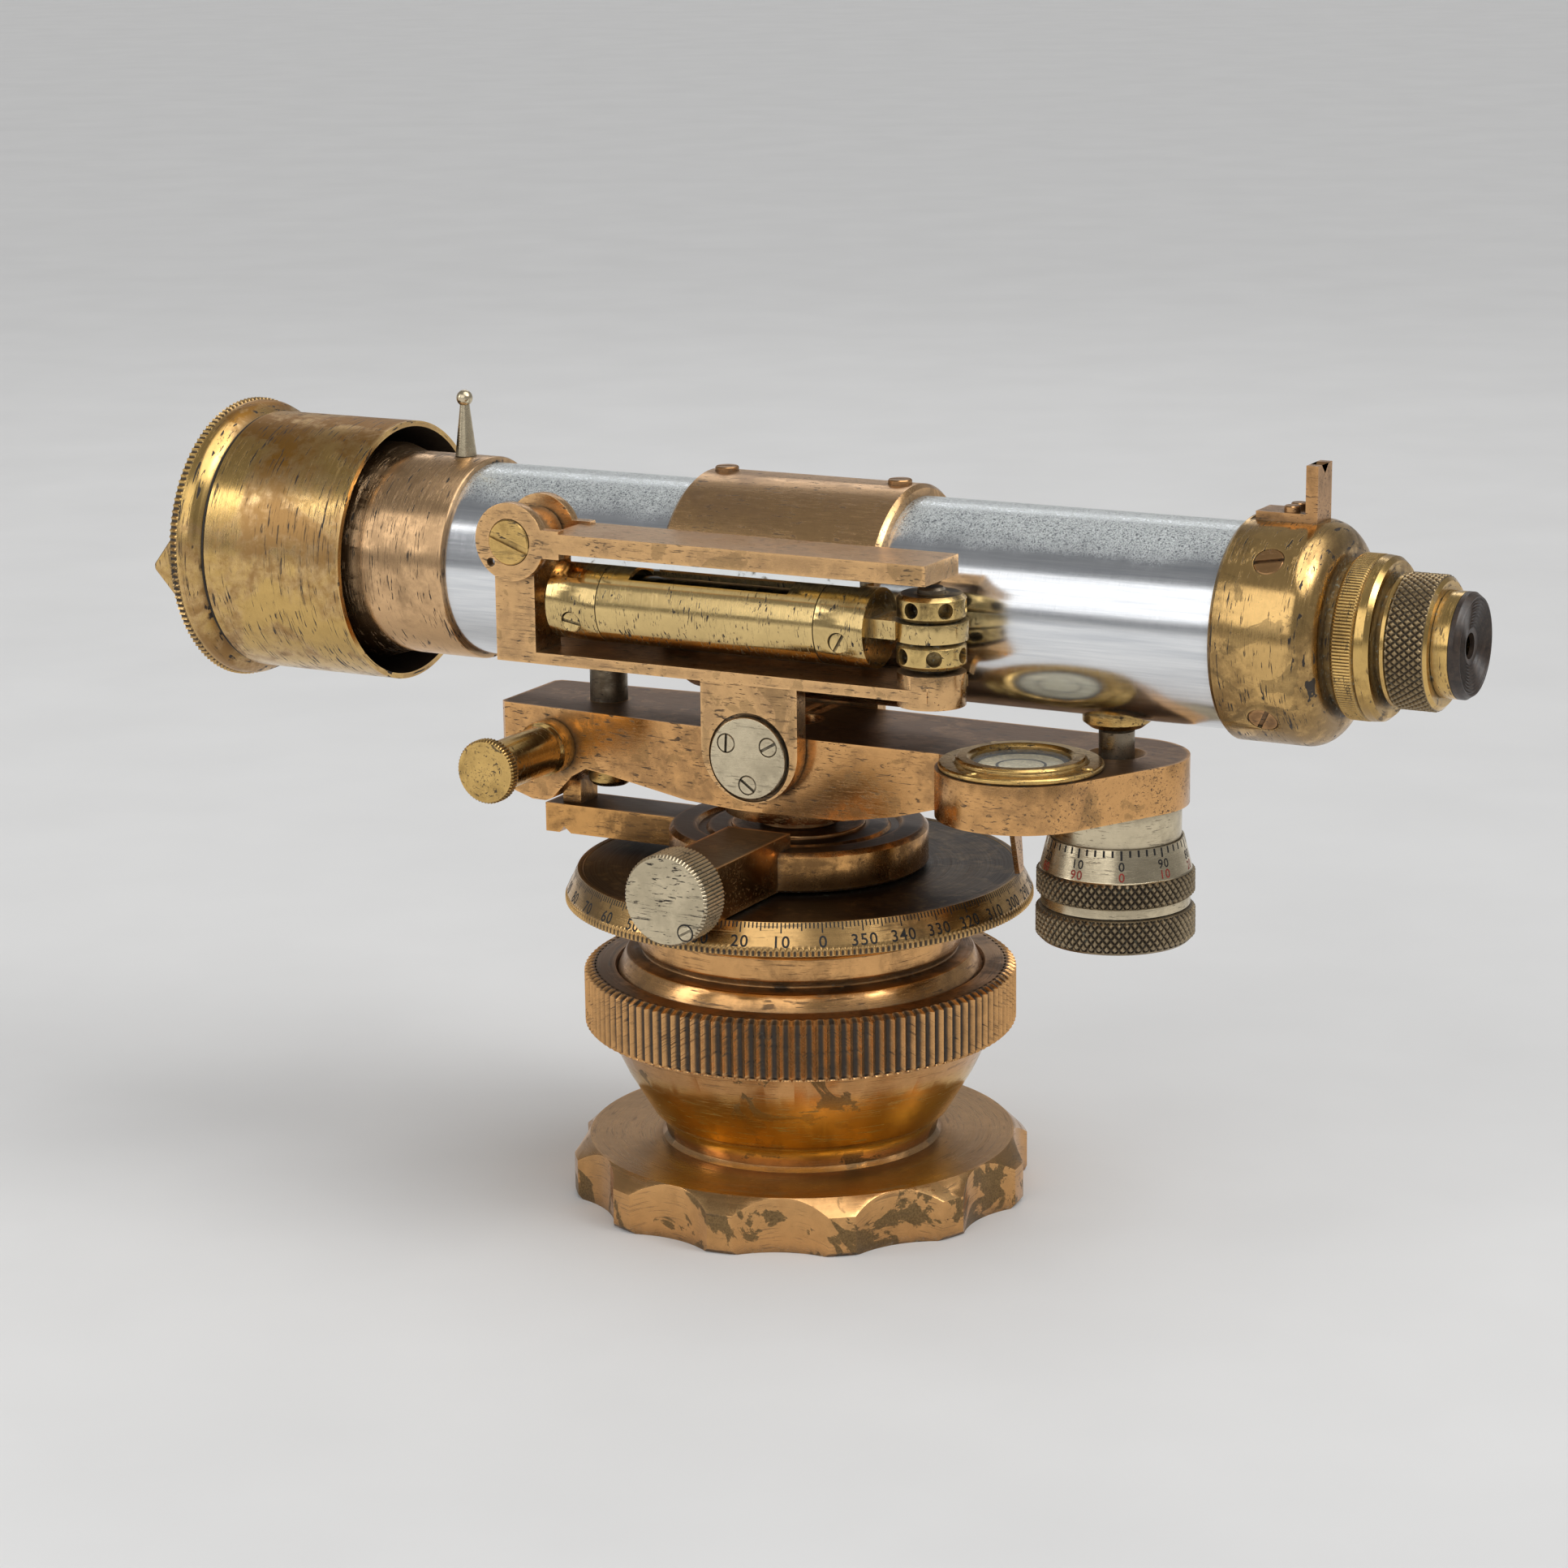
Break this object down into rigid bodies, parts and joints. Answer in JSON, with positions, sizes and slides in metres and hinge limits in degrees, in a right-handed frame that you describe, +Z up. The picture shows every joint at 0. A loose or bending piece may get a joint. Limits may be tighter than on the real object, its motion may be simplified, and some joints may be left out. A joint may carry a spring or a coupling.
{
  "type": "surveyor's tilting level",
  "caption": "Brass surveying level: telescope with side vial and folding mirror on a graduated tilting screw, over a horizontal circle and a ball-jointed base.",
  "frame": {"origin": "centre of the tripod thread at the underside of the base", "axes": "+Z up the vertical axis, +X along the line of sight towards the eyepiece, -Y towards the side spirit level"},
  "size_m": [0.2472, 0.0934, 0.1415],
  "materials": {
    "bronze": "polished gunmetal, warm copper tone, dark on top faces",
    "brass": "polished yellow brass with tarnish and scratches",
    "nickel_silver": "satin nickel silver",
    "steel": "dark steel",
    "silvered_tube": "satin silver with light corrosion",
    "glass": "clear",
    "mirror": "silvered glass",
    "black_eyecup": "black moulded eyecup"
  },
  "bodies": {
    "base": {"base": "bronze"},
    "clamp_ring": {"clamp_ring": "bronze"},
    "seat_washer": {"seat_washer": "bronze"},
    "head": {"levelling_head": "bronze", "spindle_screw": "steel"},
    "circle": {"dial": "bronze"},
    "azimuth_collar": {"azimuth_collar": "bronze", "clamp_pad": "brass"},
    "azimuth_clamp": {"clamp_knob": "nickel_silver", "clamp_knob_screw": "nickel_silver", "clamp_screw": "steel"},
    "beam": {"beam": "bronze", "bubble_holder": "brass", "bubble_screws": "brass", "bubble_glass": "glass", "index_strip": "brass", "tangent_barrel": "brass", "tangent_spring_barrel": "brass", "lift_cap": "brass", "tilt_sleeve": "nickel_silver"},
    "tangent_shaft": {"tangent_screw": "steel"},
    "tangent_knob": {"tangent_knob": "brass"},
    "tangent_plunger": {"tangent_plunger": "steel"},
    "lift_pin": {"lift_pin": "steel"},
    "tilt_plunger": {"tilt_plunger": "steel"},
    "tilt_drum": {"tilt_drum": "nickel_silver", "tilt_head": "steel"},
    "telescope": {"saddle": "bronze", "trunnion_pivots": "nickel_silver", "trunnion_screws": "nickel_silver", "main_tube": "silvered_tube", "front_collar": "bronze", "foresight": "nickel_silver", "objective_lens": "glass", "eye_cap": "brass", "rear_sight": "brass", "telescope_screws": "brass", "reticle_ring": "brass", "reticle_glass": "glass", "eyepiece_tube": "brass", "tilt_foot": "bronze", "vial_stud": "steel", "mirror_pivot": "brass"},
    "vial": {"vial_tube": "brass", "vial_screws": "brass", "vial_glass": "glass"},
    "vial_cover": {"vial_sleeve": "brass"},
    "capstan_nuts": {"capstan_nuts": "brass"},
    "mirror": {"mirror_arm": "bronze", "mirror_glass": "mirror"},
    "ray_shade": {"ray_shade": "brass"},
    "dust_cap": {"dust_cap": "brass"},
    "focus_ring": {"focus_ring": "brass"},
    "focus_carriage": {"focus_cell": "brass", "focus_lens": "glass"},
    "dioptre": {"dioptre_ring": "brass", "eyepiece_barrel": "brass", "eyepiece_lenses": "glass", "eyecup": "black_eyecup"}
  },
  "joints": [
    {"name": "ring_turn", "type": "hinge", "parent": "base", "child": "clamp_ring", "pos_m": [0, 0, 0.0365], "axis": [0, 0, 1], "range_deg": [-40, 20]},
    {"name": "ball_tilt_x", "type": "hinge", "parent": "base", "child": "seat_washer", "pos_m": [0, 0, 0.02725], "axis": [1, 0, 0], "range_deg": [-4, 4]},
    {"name": "ball_tilt_y", "type": "hinge", "parent": "seat_washer", "child": "head", "pos_m": [0, 0, 0.02725], "axis": [0, 1, 0], "range_deg": [-4, 4]},
    {"name": "circle_turn", "type": "hinge", "parent": "head", "child": "circle", "pos_m": [0, 0, 0.057], "axis": [0, 0, 1], "continuous": true},
    {"name": "azimuth_turn", "type": "hinge", "parent": "head", "child": "azimuth_collar", "pos_m": [0, 0, 0.064], "axis": [0, 0, 1], "continuous": true},
    {"name": "azimuth_clamp_turn", "type": "hinge", "parent": "azimuth_collar", "child": "azimuth_clamp", "pos_m": [0.00125, -0.048, 0.0656], "axis": [0, 1, 0], "range_deg": [-60, 180]},
    {"name": "slow_motion_swing", "type": "hinge", "parent": "azimuth_collar", "child": "beam", "pos_m": [0, 0, 0.074], "axis": [0, 0, 1], "range_deg": [-2, 2]},
    {"name": "tangent_slide", "type": "slide", "parent": "beam", "child": "tangent_shaft", "axis": [0, 1, 0], "range_m": [-0.0016, 0.0016]},
    {"name": "tangent_knob_turn", "type": "hinge", "parent": "tangent_shaft", "child": "tangent_knob", "pos_m": [-0.0446, -0.034, 0.0795], "axis": [0, 1, 0], "range_deg": [-565, 565]},
    {"name": "tangent_plunger_slide", "type": "slide", "parent": "beam", "child": "tangent_plunger", "axis": [0, 1, 0], "range_m": [-0.0016, 0.0016]},
    {"name": "tilt_plunger_slide", "type": "slide", "parent": "beam", "child": "tilt_plunger", "axis": [0, 0, 1], "range_m": [-0.0022, 0.0022]},
    {"name": "tilt_drum_turn", "type": "hinge", "parent": "tilt_plunger", "child": "tilt_drum", "pos_m": [0.0618, 0, 0.06], "axis": [0, 0, 1], "range_deg": [-1570, 1570]},
    {"name": "telescope_tilt", "type": "hinge", "parent": "beam", "child": "telescope", "pos_m": [-0.0006, 0, 0.083], "axis": [0, -1, 0], "range_deg": [-2, 2]},
    {"name": "lift_pin_slide", "type": "slide", "parent": "beam", "child": "lift_pin", "axis": [0, 0, 1], "range_m": [-0.0014, 0.0014]},
    {"name": "vial_adjust", "type": "hinge", "parent": "telescope", "child": "vial", "pos_m": [-0.0374, -0.0252, 0.1103], "axis": [0, -1, 0], "range_deg": [-0.5, 0.5]},
    {"name": "capstan_travel", "type": "slide", "parent": "telescope", "child": "capstan_nuts", "axis": [0, 0, 1], "range_m": [-0.0007, 0.0007]},
    {"name": "vial_cover_turn", "type": "hinge", "parent": "vial", "child": "vial_cover", "pos_m": [0, -0.0252, 0.1103], "axis": [1, 0, 0], "range_deg": [-120, 120]},
    {"name": "mirror_fold", "type": "hinge", "parent": "telescope", "child": "mirror", "pos_m": [-0.0389, -0.0266, 0.121], "axis": [0, -1, 0], "range_deg": [0, 100]},
    {"name": "ray_shade_slide", "type": "slide", "parent": "telescope", "child": "ray_shade", "axis": [-1, 0, 0], "range_m": [0, 0.03]},
    {"name": "dust_cap_slide", "type": "slide", "parent": "ray_shade", "child": "dust_cap", "axis": [-1, 0, 0], "range_m": [0, 0.02]},
    {"name": "focus_ring_turn", "type": "hinge", "parent": "telescope", "child": "focus_ring", "pos_m": [0.108, 0, 0.1108], "axis": [1, 0, 0], "range_deg": [-180, 180]},
    {"name": "focus_travel", "type": "slide", "parent": "telescope", "child": "focus_carriage", "axis": [1, 0, 0], "range_m": [-0.012, 0.012]},
    {"name": "dioptre_turn", "type": "hinge", "parent": "telescope", "child": "dioptre", "pos_m": [0.117, 0, 0.1108], "axis": [1, 0, 0], "range_deg": [-90, 90]}
  ],
  "couplings": [
    {"joint": "tangent_slide", "follows": "slow_motion_swing", "m_per_rad": 0.0446},
    {"joint": "tangent_plunger_slide", "follows": "slow_motion_swing", "m_per_rad": 0.0446},
    {"joint": "tangent_knob_turn", "follows": "slow_motion_swing", "ratio": 280.23},
    {"joint": "tilt_plunger_slide", "follows": "telescope_tilt", "m_per_rad": 0.0624},
    {"joint": "tilt_drum_turn", "follows": "telescope_tilt", "ratio": 784.14},
    {"joint": "lift_pin_slide", "follows": "telescope_tilt", "m_per_rad": -0.0383},
    {"joint": "capstan_travel", "follows": "vial_adjust", "m_per_rad": 0.0763},
    {"joint": "focus_travel", "follows": "focus_ring_turn", "m_per_rad": 0.003819}
  ]
}
